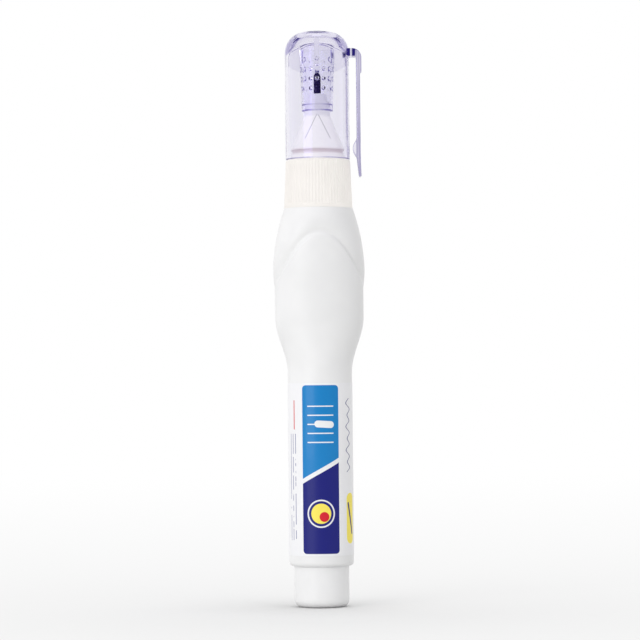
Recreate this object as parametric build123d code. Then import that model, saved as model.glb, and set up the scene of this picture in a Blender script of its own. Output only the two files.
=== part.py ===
from build123d import *
import math
import os

# Correction pen, in millimetres. Z runs along the pen, from the flat of the tail at 0 up to the crown of the cap.
# X points to the clip, and the thumb pads face -Y and +Y.

# Gaps
press_gap = 0.03  # radial gap of pieces pushed together for good
slip_gap = 0.1  # radial gap of pieces that turn or slide on each other
seat_gap = 0.05  # gap between faces that rest on each other
bury = 0.2  # how far a joined feature reaches into the wall that carries it

# Bottle
barrel_radius = 7.55
barrel_wall = 1.1
barrel_length = 45.4  # straight part, from its open end up to the grip
barrel_end_round = 0.9
grip_length = 38.4  # from the straight part up to the top of the shoulder
grip_rise = 12.8  # height over which the barrel swells sideways to the grip
pad_step = 0.4  # ledge where the shoulder ends above a thumb pad
pad_swell = 1.2  # how far the top of a thumb pad stands out from the line of the barrel
pad_sections = 16
shoulder_radius = 10.8  # widest radius
shoulder_drop = 16.2  # from the top of the shoulder down to its widest radius
shoulder_lip = 0.15  # how far the top of the shoulder stands out beyond the collar
shoulder_edge = 0.4
arch_drop = 5.0  # from the top of the shoulder down to the apex of a thumb pad's arch
arch_height = 12.0  # from the apex down to the feet of the arch
arch_slope = 0.4  # rise of the ledge over the arch, outwards
neck_height = 8.4
neck_wall = 1.2

# Screw thread of neck and collar
thread_pitch = 2.0
thread_depth = 0.5
thread_root_width = 0.9
thread_crest_width = 0.4
neck_turns = 2.25
collar_turns = 1.5
thread_start = 1.9  # height of the neck's thread above the shoulder

# Tail plug
tail_length = 9.6  # length that stands out of the barrel
tail_edge_round = 1.7
plug_insert = 6.0
plug_wall = 1.2
plug_floor = 1.5

# Label film
label_thickness = 0.05
label_gap = 0.01
label_margin = 2.6  # plain barrel left at each end

# Nozzle
spigot_radius = 6.3
spigot_height = 3.4  # above the collar
groove_depth = 0.35
groove_width = 0.95
groove_lip = 0.25
cone_height = 6.8
land_radius = 3.05
land_height = 3.3
snout_foot_radius = 2.5
snout_tip_radius = 2.0
snout_height = 2.0
flange_ledge = 0.5  # how far the flange reaches under the collar's plate
flange_thickness = 1.2
skirt_length = 5.0
chamber_radius = 2.2
chamber_roof = 0.6
gasket_thickness = 0.8

# Collar
collar_wall = 0.65
collar_flare = 0.5  # growth in radius from its top to its foot
collar_plate = 1.0
collar_edge_round = 0.5
rib_count = 64
rib_depth = 0.16
rib_margin = 0.8  # plain band under the ribs

# Valve
tip_radius = 0.85
tip_bore = 0.5
tip_reach = 4.9  # height above the snout
tip_nose_height = 0.7
tip_nose_radius = 0.55
tip_flange_radius = 1.5
tip_flange_thickness = 0.6
needle_radius = 0.26
needle_gap = 0.05
needle_reach = 0.5  # height above the tip
needle_hold = 1.6  # length of needle held in the plunger
plunger_radius = 1.6
plunger_head = 2.2
plunger_stem_radius = 0.7
plunger_stem_length = 4.0
retainer_radius = 3.2
retainer_base = 2.5
retainer_post_radius = 1.75
retainer_post_height = 6.4
feed_hole_radius = 0.5
feed_hole_count = 4
spring_wire_radius = 0.15
spring_radius = 1.25  # mean radius of the coil
spring_turns = 7

# Mixing ball
ball_radius = 2.5

# Cap
cap_length = 30.1
cap_wall = 0.75
mouth_depth = 3.6
mouth_relief = 0.3
crown_round = 4.8
crown_thickness = 1.9
ceiling_drop = 3.0  # from the top down to the ceiling between shell and sleeve
ceiling_round = 2.2
seal_gap = 0.04
seal_overlap = 2.1  # height of the sealing land that the sleeve covers
sleeve_lip_wall = 0.55
sleeve_lip_height = 1.5
sleeve_wall = 0.45
sleeve_flare = 0.6
sleeve_round = 1.4
web_count = 4
web_thickness = 0.9
web_height = 6.6  # at the sleeve, down from the ceiling
web_slant = 1.6

# Clip
clip_gap = 1.6
clip_thickness = 0.95
clip_width = 4.2
clip_length = 30.2
clip_head_step = 0.35
clip_head_length = 5.6
clip_corner_share = 0.9  # of the head's thickness, for the round of its top corner
clip_foot_kick = 0.25
clip_foot_length = 3.8
bridge_drop = 4.0  # from the top of the cap down to the bridge
bridge_thickness = 1.9
bridge_stub = 0.45  # part of the bridge on the cap's side of the line where the clip bends
bead_depth = 1.0
bead_length = 4.4
bead_height = 4.4  # from the clip's end up to the bead

# Radii that follow from the spigot outwards and inwards
flange_radius = spigot_radius + flange_ledge
collar_bore = flange_radius + slip_gap
collar_top_radius = collar_bore + collar_wall
collar_foot_radius = collar_top_radius + collar_flare
shoulder_top_radius = collar_foot_radius + shoulder_lip
neck_crest_radius = collar_bore - 3 * slip_gap
neck_radius = neck_crest_radius - thread_depth
collar_crest_radius = collar_bore - thread_depth
neck_bore = neck_radius - neck_wall
skirt_radius = neck_bore - slip_gap
barrel_bore = barrel_radius - barrel_wall
plug_radius = barrel_bore - press_gap
cap_radius = collar_top_radius
cap_bore = cap_radius - cap_wall
sleeve_tip_radius = land_radius + seal_gap + sleeve_lip_wall
sleeve_root_radius = sleeve_tip_radius + sleeve_flare

# Heights from the tail upwards
barrel_foot = tail_length
grip_foot = barrel_foot + barrel_length
shoulder_top = grip_foot + grip_length
shoulder_widest = shoulder_top - shoulder_drop
arch_apex = shoulder_top - arch_drop
neck_top = shoulder_top + neck_height
flange_foot = neck_top + gasket_thickness
flange_top = flange_foot + flange_thickness
collar_foot = shoulder_top + seat_gap
collar_top = flange_top + seat_gap + collar_plate
cone_foot = collar_top + spigot_height
cone_top = cone_foot + cone_height
land_top = cone_top + land_height
snout_top = land_top + snout_height
chamber_top = land_top - chamber_roof
skirt_foot = flange_foot - skirt_length
tip_top = snout_top + tip_reach
tip_foot = chamber_top - tip_flange_thickness
plunger_top = tip_foot - seat_gap
plunger_foot = plunger_top - plunger_head
retainer_top = skirt_foot + retainer_base + retainer_post_height
cap_foot = collar_top + seat_gap
cap_top = cap_foot + cap_length
ceiling = cap_top - ceiling_drop
sleeve_foot = land_top - seal_overlap
bridge_top = cap_top - bridge_drop
bridge_foot = bridge_top - bridge_thickness
clip_bend = cap_radius + bridge_stub
clip_inside = cap_radius + clip_gap
clip_outside = clip_inside + clip_thickness
clip_foot = bridge_top - clip_length


def path_face(*pieces):
    """Face inside a closed path in the XZ plane."""
    return make_face(Curve() + list(pieces))


def outline(*points):
    """Edges through (x, z) points, in order."""
    return Polyline(*[(x, 0, z) for x, z in points])


def rounded(start, corner, end):
    """Quarter of an ellipse from start to end, whose two tangents meet at corner."""
    turn = 1 - math.sqrt(0.5)
    middle = [
        corner[i] + (start[i] - corner[i] + end[i] - corner[i]) * turn for i in (0, 1)
    ]
    points = [(p[0], 0, p[1]) for p in (start, middle, end)]
    return ThreePointArc(*points)


def turned(*pieces):
    """Solid of revolution about Z."""
    return revolve(path_face(*pieces), Axis.Z)


def slab(face, thickness):
    """Plate of a face in the XZ plane, half of its thickness to each side."""
    return extrude(Pos(0, -thickness / 2, 0) * face, thickness, dir=(0, 1, 0))


def disc(radius, foot, top):
    """Upright cylinder on the axis between two heights."""
    return Pos(0, 0, foot) * Cylinder(radius, top - foot, align=(Align.CENTER, Align.CENTER, Align.MIN))


def ring(outer, inner, foot, top):
    """Upright tube on the axis between two heights."""
    return disc(outer, foot, top) - disc(inner, foot, top)


def ease(share):
    """Smooth step from 0 to 1, level at both ends."""
    share = min(max(share, 0.0), 1.0)
    return share * share * (3 - 2 * share)


def shoulder_at(height):
    """Radius of the shoulder at a height: a wide arc, upright where the shoulder is widest."""
    fall = shoulder_radius - shoulder_top_radius
    arc_radius = (fall**2 + shoulder_drop**2) / (2 * fall)
    rise = max(height - shoulder_widest, 0.0)
    return shoulder_radius - arc_radius + math.sqrt(arc_radius**2 - rise**2)


def pad_section(height):
    """Half width and half depth of the grip under the shoulder at a height."""
    limit = shoulder_at(height) - pad_step
    width = barrel_radius + (shoulder_radius - pad_step - barrel_radius) * ease((height - grip_foot) / grip_rise)
    depth = barrel_radius + pad_swell * ease((height - grip_foot) / (arch_apex - grip_foot))
    return min(width, limit), min(depth, limit)


def grip(inset):
    """Swelling part of the bottle, with its walls moved in by inset."""
    pads_top = (arch_apex + shoulder_top) / 2 - inset
    sections = []
    for i in range(pad_sections):
        height = grip_foot + (pads_top - grip_foot) * i / (pad_sections - 1)
        width, depth = pad_section(height)
        sections.append(Pos(0, 0, height) * Ellipse(width - inset, depth - inset))
    pads = loft(sections)

    top = shoulder_top - inset
    base = shoulder_widest - arch_height
    radius = shoulder_radius - inset
    top_radius = shoulder_at(top) - inset
    middle = (shoulder_widest + top) / 2
    rim = ThreePointArc(
        (radius, 0, shoulder_widest), (shoulder_at(middle) - inset, 0, middle), (top_radius, 0, top)
    )
    shoulder = turned(
        outline((radius, shoulder_widest), (radius, base), (0, base), (0, top), (top_radius, top)), rim
    )

    reach = shoulder_radius + 1
    apex = arch_apex + inset - arch_slope * shoulder_at(arch_apex)
    height = arch_height - arch_slope * shoulder_at(arch_apex)
    foot = apex - height * (reach / shoulder_radius) ** 2
    arch = Bezier((-reach, 0, foot), (0, 0, 2 * apex - foot), (reach, 0, foot))
    depth = base - reach
    under = path_face(arch, outline((reach, foot), (reach, depth), (-reach, depth), (-reach, foot)))
    for side in (1, -1):
        slant = Vector(0, side, arch_slope)
        shoulder -= extrude(under, reach * slant.length, dir=slant)
    return pads + shoulder


def ridge(root_radius, crest_radius, start, turns):
    """Helical thread ridge that stands on a wall of root_radius, from a start height upwards."""
    inward = math.copysign(bury, crest_radius - root_radius)
    root = thread_root_width / 2
    crest = thread_crest_width / 2
    section = path_face(
        outline(
            (root_radius - inward, start - root),
            (crest_radius, start - crest),
            (crest_radius, start + crest),
            (root_radius - inward, start + root),
            (root_radius - inward, start - root),
        )
    )
    path = Helix(thread_pitch, thread_pitch * turns, root_radius, center=(0, 0, start))
    return sweep(section, path, is_frenet=True)


def make_bottle():
    foot_round = rounded(
        (barrel_radius - barrel_end_round, barrel_foot),
        (barrel_radius, barrel_foot),
        (barrel_radius, barrel_foot + barrel_end_round),
    )
    barrel = turned(
        foot_round,
        outline(
            (barrel_radius, barrel_foot + barrel_end_round),
            (barrel_radius, grip_foot),
            (0, grip_foot),
            (0, barrel_foot),
            (barrel_radius - barrel_end_round, barrel_foot),
        ),
    )
    edge = turned(
        outline(
            (shoulder_top_radius - shoulder_edge, shoulder_top),
            (shoulder_top_radius + 1, shoulder_top),
            (shoulder_top_radius + 1, shoulder_top - shoulder_edge - 1),
            (shoulder_top_radius - shoulder_edge, shoulder_top),
        )
    )
    neck = disc(neck_radius, shoulder_top - bury, neck_top)
    neck += ridge(neck_radius, neck_crest_radius, shoulder_top + thread_start, neck_turns)
    body = barrel + (grip(0) - edge) + neck
    hollow = disc(barrel_bore, barrel_foot - 1, grip_foot) + grip(barrel_wall)
    return body - hollow - disc(neck_bore, shoulder_top - barrel_wall - 1, neck_top + 1)


def make_tail_plug():
    top = tail_length + plug_insert
    inside = plug_radius - plug_wall
    return turned(
        rounded((plug_radius - tail_edge_round, 0), (plug_radius, 0), (plug_radius, tail_edge_round)),
        outline(
            (plug_radius, tail_edge_round),
            (plug_radius, top),
            (inside, top),
            (inside, plug_floor),
            (0, plug_floor),
            (0, 0),
            (plug_radius - tail_edge_round, 0),
        ),
    )


def make_label():
    inner = barrel_radius + label_gap
    foot = barrel_foot + label_margin
    return ring(inner + label_thickness, inner, foot, grip_foot - label_margin)


def make_collar():
    edge = collar_edge_round
    slope = collar_flare / (collar_top - collar_foot)
    plate_foot = collar_top - collar_plate
    hole = spigot_radius + slip_gap
    shoulder = collar_top_radius + slope * edge
    body = turned(
        rounded((collar_top_radius - edge, collar_top), (collar_top_radius, collar_top), (shoulder, collar_top - edge)),
        outline(
            (shoulder, collar_top - edge),
            (collar_foot_radius, collar_foot),
            (collar_bore, collar_foot),
            (collar_bore, plate_foot),
            (hole, plate_foot),
            (hole, collar_top),
            (collar_top_radius - edge, collar_top),
        ),
    )
    thread = ridge(collar_bore, collar_crest_radius, shoulder_top + thread_start + thread_pitch / 2, collar_turns)
    length = collar_top - collar_foot
    middle = (collar_top_radius + collar_foot_radius) / 2 + slope * rib_margin / 2
    width = rib_depth * math.sqrt(2)
    groove = Pos(middle - slope * rib_margin, 0, collar_foot + rib_margin + length / 2)
    groove = groove * Rot(0, -math.degrees(math.atan(slope)), 0) * Rot(0, 0, 45) * Box(width, width, length)
    return body + thread - [Rot(0, 0, 360 * i / rib_count) * groove for i in range(rib_count)]


def make_gasket():
    return ring(neck_radius, neck_bore, neck_top, flange_foot)


def make_nozzle():
    lip = cone_foot - groove_lip
    groove = spigot_radius - groove_depth
    tip_hole = tip_radius + press_gap
    bore = retainer_radius + press_gap
    return turned(
        outline(
            (skirt_radius, skirt_foot),
            (skirt_radius, flange_foot),
            (flange_radius, flange_foot),
            (flange_radius, flange_top),
            (spigot_radius, flange_top),
            (spigot_radius, lip - groove_width),
            (groove, lip - groove_width),
            (groove, lip),
            (spigot_radius, lip),
            (spigot_radius, cone_foot),
            (land_radius, cone_top),
            (land_radius, land_top),
            (snout_foot_radius, land_top),
            (snout_tip_radius, snout_top),
            (tip_hole, snout_top),
            (tip_hole, chamber_top),
            (chamber_radius, chamber_top),
            (chamber_radius, cone_foot),
            (bore, cone_foot),
            (bore, skirt_foot),
            (skirt_radius, skirt_foot),
        )
    )


def make_metal_tip():
    nose = tip_top - tip_nose_height
    hole = needle_radius + needle_gap
    return turned(
        outline(
            (tip_bore, tip_foot),
            (tip_flange_radius, tip_foot),
            (tip_flange_radius, chamber_top),
            (tip_radius, chamber_top),
            (tip_radius, nose),
            (tip_nose_radius, tip_top),
            (hole, tip_top),
            (hole, nose),
            (tip_bore, nose),
            (tip_bore, tip_foot),
        )
    )


def make_needle():
    foot = plunger_top - needle_hold
    top = tip_top + needle_reach
    shank = top - needle_radius
    return turned(
        rounded((needle_radius, shank), (needle_radius, top), (0, top)),
        outline((0, top), (0, foot), (needle_radius, foot), (needle_radius, shank)),
    )


def make_plunger():
    stem_foot = plunger_foot - plunger_stem_length
    socket_foot = plunger_top - needle_hold
    socket = needle_radius + press_gap
    return turned(
        outline(
            (0, stem_foot),
            (plunger_stem_radius, stem_foot),
            (plunger_stem_radius, plunger_foot),
            (plunger_radius, plunger_foot),
            (plunger_radius, plunger_top),
            (socket, plunger_top),
            (socket, socket_foot),
            (0, socket_foot),
            (0, stem_foot),
        )
    )


def make_retainer():
    base = disc(retainer_radius, skirt_foot, skirt_foot + retainer_base)
    post = disc(retainer_post_radius, skirt_foot, retainer_top)
    guide = disc(plunger_stem_radius + slip_gap, skirt_foot + retainer_base / 2, retainer_top)
    hole_circle = (retainer_post_radius + retainer_radius) / 2
    hole = Pos(hole_circle, 0, 0) * disc(feed_hole_radius, skirt_foot, skirt_foot + retainer_base)
    return base + post - guide - [Rot(0, 0, 360 * i / feed_hole_count) * hole for i in range(feed_hole_count)]


def make_spring():
    foot = retainer_top + seat_gap + spring_wire_radius
    top = plunger_foot - seat_gap - spring_wire_radius
    pitch = (top - foot) / spring_turns
    path = Helix(pitch, top - foot, spring_radius, center=(0, 0, foot))
    section = Plane(path @ 0, z_dir=path % 0) * Circle(spring_wire_radius)
    print("least gap between spring turns", round(pitch - 2 * spring_wire_radius, 3))
    return sweep(section, path, is_frenet=True)


def make_ball():
    return Pos(0, 0, plug_floor + ball_radius) * Sphere(ball_radius)


def cap_outside():
    """The cap's outer shape without the clip, as a full solid."""
    side = cap_top - crown_round
    return turned(
        rounded((cap_radius, side), (cap_radius, cap_top), (cap_radius - crown_round, cap_top)),
        outline((cap_radius - crown_round, cap_top), (0, cap_top), (0, cap_foot), (cap_radius, cap_foot), (cap_radius, side)),
    )


def sleeve_outside(height):
    """Outer radius of the cap's inner sleeve at a height."""
    share = (height - sleeve_foot) / (ceiling - sleeve_foot)
    return sleeve_tip_radius + sleeve_flare * share


def make_cap():
    mouth = cap_bore + mouth_relief
    mouth_top = cap_foot + mouth_depth
    space = turned(
        outline(
            (mouth, cap_foot - 1),
            (mouth, mouth_top),
            (cap_bore, mouth_top + mouth_relief),
            (cap_bore, ceiling - ceiling_round),
        ),
        rounded((cap_bore, ceiling - ceiling_round), (cap_bore, ceiling), (cap_bore - ceiling_round, ceiling)),
        outline((cap_bore - ceiling_round, ceiling), (0, ceiling), (0, cap_foot - 1), (mouth, cap_foot - 1)),
    )
    lip_top = sleeve_foot + sleeve_lip_height
    lip_bore = land_radius + seal_gap
    roof = cap_top - crown_thickness
    wall_top = roof - sleeve_round
    root_bore = sleeve_outside(wall_top) - sleeve_wall
    sleeve = turned(
        outline((sleeve_tip_radius, sleeve_foot), (sleeve_root_radius, ceiling), (sleeve_root_radius, ceiling + bury)),
        outline(
            (sleeve_root_radius, ceiling + bury), (0, ceiling + bury), (0, sleeve_foot), (sleeve_tip_radius, sleeve_foot)
        ),
    )
    socket = turned(
        outline(
            (lip_bore, sleeve_foot - 1),
            (lip_bore, lip_top),
            (sleeve_outside(lip_top) - sleeve_wall, lip_top),
            (root_bore, wall_top),
        ),
        rounded((root_bore, wall_top), (root_bore, roof), (root_bore - sleeve_round, roof)),
        outline((root_bore - sleeve_round, roof), (0, roof), (0, sleeve_foot - 1), (lip_bore, sleeve_foot - 1)),
    )
    web_foot = ceiling - web_height
    web = path_face(
        outline(
            (sleeve_outside(web_foot) - bury, web_foot),
            (cap_bore + bury, web_foot + web_slant),
            (cap_bore + bury, ceiling + bury),
            (sleeve_root_radius - bury, ceiling + bury),
            (sleeve_outside(web_foot) - bury, web_foot),
        )
    )
    web = slab(web, web_thickness) & cap_outside()
    bridge_length = clip_bend - cap_bore - bury
    bridge = Pos(clip_bend - bridge_length / 2, 0, (bridge_top + bridge_foot) / 2)
    bridge = bridge * Box(bridge_length, clip_width, bridge_thickness)
    cap = cap_outside() - space + sleeve
    cap += [Rot(0, 0, 360 * i / web_count) * web for i in range(web_count)]
    return cap + bridge - socket


def make_clip():
    head = clip_outside + clip_head_step
    head_foot = bridge_top - clip_head_length
    corner = clip_corner_share * (head - clip_inside)
    kick_top = clip_foot + clip_foot_length
    foot_out = clip_outside + clip_foot_kick
    foot_in = clip_inside + clip_foot_kick
    foot_middle = (foot_out + foot_in) / 2
    half = (foot_out - foot_in) / 2
    bead_foot = clip_foot + bead_height
    bead = ThreePointArc(
        (clip_inside, 0, bead_foot),
        (clip_inside - bead_depth, 0, bead_foot + bead_length / 2),
        (clip_inside, 0, bead_foot + bead_length),
    )
    tip = ThreePointArc((foot_out, 0, clip_foot + half), (foot_middle, 0, clip_foot), (foot_in, 0, clip_foot + half))
    side = path_face(
        outline((clip_bend, bridge_top), (head - corner, bridge_top)),
        rounded((head - corner, bridge_top), (head, bridge_top), (head, bridge_top - corner)),
        outline(
            (head, bridge_top - corner),
            (head, head_foot),
            (clip_outside, head_foot - clip_head_step),
            (clip_outside, kick_top),
            (foot_out, clip_foot + half),
        ),
        tip,
        outline((foot_in, clip_foot + half), (clip_inside, min(kick_top, bead_foot)), (clip_inside, bead_foot)),
        bead,
        outline(
            (clip_inside, bead_foot + bead_length),
            (clip_inside, bridge_foot),
            (clip_bend, bridge_foot),
            (clip_bend, bridge_top),
        ),
    )
    return slab(side, clip_width)


pieces = {
    "bottle": make_bottle,
    "tail_plug": make_tail_plug,
    "label": make_label,
    "collar": make_collar,
    "neck_gasket": make_gasket,
    "nozzle": make_nozzle,
    "metal_tip": make_metal_tip,
    "needle": make_needle,
    "plunger": make_plunger,
    "needle_spring": make_spring,
    "spring_retainer": make_retainer,
    "mixing_ball": make_ball,
    "cap": make_cap,
    "cap_clip": make_clip,
}

os.makedirs("parts", exist_ok=True)
for name, make in pieces.items():
    shape = make()
    export_step(shape, "parts/" + name + ".step")
    print(name, "volume", round(shape.volume, 2), "solids", len(shape.solids()))
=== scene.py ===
import math

import bpy
import numpy as np
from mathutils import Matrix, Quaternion, Vector


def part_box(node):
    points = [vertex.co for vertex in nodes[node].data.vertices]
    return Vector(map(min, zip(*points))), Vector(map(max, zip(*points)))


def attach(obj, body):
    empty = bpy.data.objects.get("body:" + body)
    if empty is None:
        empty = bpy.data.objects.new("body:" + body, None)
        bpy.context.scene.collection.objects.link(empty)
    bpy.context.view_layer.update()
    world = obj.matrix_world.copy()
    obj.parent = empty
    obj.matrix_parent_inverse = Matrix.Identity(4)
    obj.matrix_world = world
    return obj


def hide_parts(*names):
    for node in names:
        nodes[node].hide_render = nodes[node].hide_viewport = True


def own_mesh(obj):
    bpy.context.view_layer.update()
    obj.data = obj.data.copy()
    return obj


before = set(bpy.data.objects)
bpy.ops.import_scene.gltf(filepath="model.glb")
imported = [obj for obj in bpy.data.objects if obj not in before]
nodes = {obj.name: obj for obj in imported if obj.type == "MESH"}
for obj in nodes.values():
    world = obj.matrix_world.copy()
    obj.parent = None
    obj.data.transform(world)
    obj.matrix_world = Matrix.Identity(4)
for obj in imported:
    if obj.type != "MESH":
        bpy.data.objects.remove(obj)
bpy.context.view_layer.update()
mm = 0.001  # sizes below are in millimetres, meshes are in metres
white = (1.0, 1.0, 1.0, 1.0)


def span(node):  # half depth, lowest and highest z of a CAD node, in millimetres
    low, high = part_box(node)
    return high[1] / mm, low[2] / mm, high[2] / mm


def srgb(red, green, blue):  # colour written as 0 to 255, in the linear values that shaders take
    share = np.array([red, green, blue]) / 255
    return tuple(np.where(share < 0.04045, share / 12.92, ((share + 0.055) / 1.055) ** 2.4)) + (1.0,)


def scaled(colour, factor):  # darker or lighter colour, at most white
    return tuple(min(1.0, channel * factor) for channel in colour[:3]) + (1.0,)


# Camera: level with the lower half of the pen, which leans a little to the left in the picture

view = dict(distance=672.0, height=52.0, aimX=0.14, aimZ=67.2, angle=12.77, lean=0.555)


def makeCamera():
    data = bpy.data.cameras.new("camera")
    data.angle = math.radians(view["angle"])
    camera = bpy.data.objects.new("camera", data)
    bpy.context.collection.objects.link(camera)
    place = Vector((view["aimX"], -view["distance"], view["height"])) * mm
    aim = Vector((view["aimX"], 0, view["aimZ"])) * mm
    turn = (aim - place).to_track_quat("-Z", "Y") @ Quaternion((0, 0, 1), -math.radians(view["lean"]))
    camera.location = place
    camera.rotation_euler = turn.to_euler()
    bpy.context.scene.camera = camera


makeCamera()
print("camera ready")


# Shader maths: a socket that takes part in Python expressions, and the tree that it belongs to

class Sock:
    def __init__(self, tree, socket):
        self.tree = tree
        self.socket = socket

    def __add__(self, other):
        return self.tree.maths("ADD", self, other)

    def __sub__(self, other):
        return self.tree.maths("SUBTRACT", self, other)

    def __rsub__(self, other):
        return self.tree.maths("SUBTRACT", other, self)

    def __mul__(self, other):
        return self.tree.maths("MULTIPLY", self, other)

    def __truediv__(self, other):
        return self.tree.maths("DIVIDE", self, other)

    def __pow__(self, other):
        return self.tree.maths("POWER", self, other)

    def __neg__(self):
        return self.tree.maths("MULTIPLY", self, -1)

    def __abs__(self):
        return self.tree.maths("ABSOLUTE", self)

    __radd__ = __add__
    __rmul__ = __mul__


class Tree:
    def __init__(self, owner):
        owner.use_nodes = True
        self.tree = owner.node_tree
        self.tree.nodes.clear()

    def node(self, kind, settings=(), values=(), out=0):
        made = self.tree.nodes.new("ShaderNode" + kind)
        for name, value in dict(settings).items():
            setattr(made, name, value)
        for name, value in dict(values).items():
            if isinstance(value, Sock):
                self.tree.links.new(value.socket, made.inputs[name])
            else:
                made.inputs[name].default_value = value
        return Sock(self, made.outputs[out] if len(made.outputs) else None)

    def maths(self, operation, *values):
        return self.node("Math", {"operation": operation}, dict(enumerate(values)))

    def place(self):  # object coordinates in millimetres, as x, y, z and the whole vector
        metres = self.node("TexCoord", out="Object")
        whole = self.node("VectorMath", {"operation": "SCALE"}, {0: metres, "Scale": 1 / mm})
        parts = [self.node("SeparateXYZ", {}, {0: whole}, out) for out in ("X", "Y", "Z")]
        return *parts, whole

    def stretched(self, x, y, z, across, along):  # coordinates scaled across and along the pen
        return self.node("CombineXYZ", {}, {0: x * across, 1: y * across, 2: z * along})

    def noise(self, vector, scale=1.0, detail=2.0):
        return self.node("TexNoise", {}, {"Vector": vector, "Scale": scale, "Detail": detail})

    def rise(self, value, low, high):  # smooth step from 0 at low to 1 at high
        return self.node("MapRange", {"interpolation_type": "SMOOTHSTEP"}, {0: value, 1: low, 2: high})

    def past(self, value, at, soft):  # 0 below a value and 1 above it, with a soft edge
        return self.rise(value, at - soft, at + soft)

    def within(self, value, half, soft):  # 1 where a value is nearer to 0 than half, with a soft edge
        return 1 - self.past(abs(value), half, soft)

    def mix(self, share, first, second):
        return self.node("Mix", {"data_type": "RGBA"}, {0: share, 6: first, 7: second}, 2)

    def bump(self, height):  # relief in millimetres
        return self.node("Bump", {}, {"Height": height, "Distance": mm})

    def ray(self, kind):
        return self.node("LightPath", out=kind)

    def finish(self, surface, volume=None):
        values = {"Surface": surface}
        if volume is not None:
            values["Volume"] = volume
        self.node("OutputMaterial", {}, values)


def newMaterial(name):
    material = bpy.data.materials.new(name)
    return material, Tree(material)


# Materials; a pair of values in these dictionaries is the place of an edge and its softness

plastic = dict(
    grain=2.2, grainDetail=3.0, grainDepth=0.006, glossSpread=0.12, ior=1.46,
    mottle=0.11, patch=(0.5, 0.2), dull=0.965, seamHalf=(0.09, 0.05), seamHeight=0.05,
)


def mouldedPlastic(name, colour, roughness, seam=False):
    # fine grain in relief and gloss, and broad patches that are slightly duller
    material, tree = newMaterial(name)
    p = plastic
    x, y, z, where = tree.place()
    grain = tree.noise(where, p["grain"], p["grainDetail"])
    patch = tree.past(tree.noise(where, p["mottle"]), *p["patch"])
    height = grain * p["grainDepth"]
    if seam:  # parting line of the two mould halves, down both sides
        height = height + tree.within(y, *p["seamHalf"]) * p["seamHeight"]
    tree.finish(tree.node("BsdfPrincipled", {}, {
        "Base Color": tree.mix(patch, scaled(colour, p["dull"]), colour),
        "Roughness": roughness + (grain - 0.5) * p["glossSpread"],
        "Normal": tree.bump(height),
        "IOR": p["ior"],
    }))
    return material


steel = dict(stretch=0.2, lineDetail=3.0, lineDepth=0.004, glossSpread=0.2, worn=0.9, pale=1.25)


def metal(name, colour, roughness, lines):
    # drawn or polished steel: fine lines round the axis change its gloss, and worn patches are paler
    material, tree = newMaterial(name)
    s = steel
    x, y, z, where = tree.place()
    drawn = tree.noise(tree.stretched(x, y, z, s["stretch"], lines), detail=s["lineDetail"])
    tree.finish(tree.node("BsdfPrincipled", {}, {
        "Base Color": tree.mix(tree.noise(where, s["worn"]), colour, scaled(colour, s["pale"])),
        "Metallic": 1.0,
        "Roughness": roughness + (drawn - 0.5) * s["glossSpread"],
        "Normal": tree.bump(drawn * s["lineDepth"]),
    }))
    return material


nozzleMarks = dict(
    pale=srgb(249, 247, 248), deep=srgb(245, 243, 245), roughness=0.36, glossSpread=0.1,
    # the dark colour of the two fine grooves is painted shade
    line=srgb(80, 72, 96), grooveShadeShare=0.7, lineDepth=0.05, lineHalf=(0.06, 0.05), lineSlope=0.475,
    lineApex=115.7, lineTop=(115.4, 0.3), lineFoot=(109.6, 0.2),
    # the pinkish grey of the groove and the lavender grey of the head are painted shade
    band=srgb(216, 204, 209), bandMiddle=106.75, bandHalf=(0.45, 0.45),
    head=srgb(231, 229, 236), headFoot=(115.1, 0.4),
)


def nozzlePlastic():
    # white moulding; painted shade darkens its groove to a pinkish grey and its head to a lavender grey, and
    # two fine grooves spread down its front and its back, darkened with painted shade
    material, tree = newMaterial("nozzleWhite")
    m = nozzleMarks
    x, y, z, where = tree.place()
    grain = tree.noise(where, plastic["grain"], plastic["grainDetail"])
    # two fine grooves in relief; the same mask darkens them with painted shade
    line = tree.within(abs(x) - (m["lineApex"] - z) * m["lineSlope"], *m["lineHalf"])
    line = line * tree.past(z, *m["lineFoot"]) * (1 - tree.past(z, *m["lineTop"]))
    colour = tree.mix(tree.past(grain, *plastic["patch"]), m["deep"], m["pale"])
    # painted shade: the groove darkened to a pinkish grey
    colour = tree.mix(tree.within(z - m["bandMiddle"], *m["bandHalf"]), colour, m["band"])
    # painted shade: the head, in the shade of the sleeve, darkened to a lavender grey
    colour = tree.mix(tree.past(z, *m["headFoot"]), colour, m["head"])
    tree.finish(tree.node("BsdfPrincipled", {}, {
        "Base Color": tree.mix(line * m["grooveShadeShare"], colour, m["line"]),
        "Roughness": m["roughness"] + (grain - 0.5) * m["glossSpread"],
        "Normal": tree.bump(grain * plastic["grainDepth"] - line * m["lineDepth"]),
        "IOR": plastic["ior"],
    }))
    return material


# sleeve, root, arm, bridge and rim colours are painted shade, pale arm streaks are painted highlights, and
# the lost colours feed a painted glow
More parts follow.
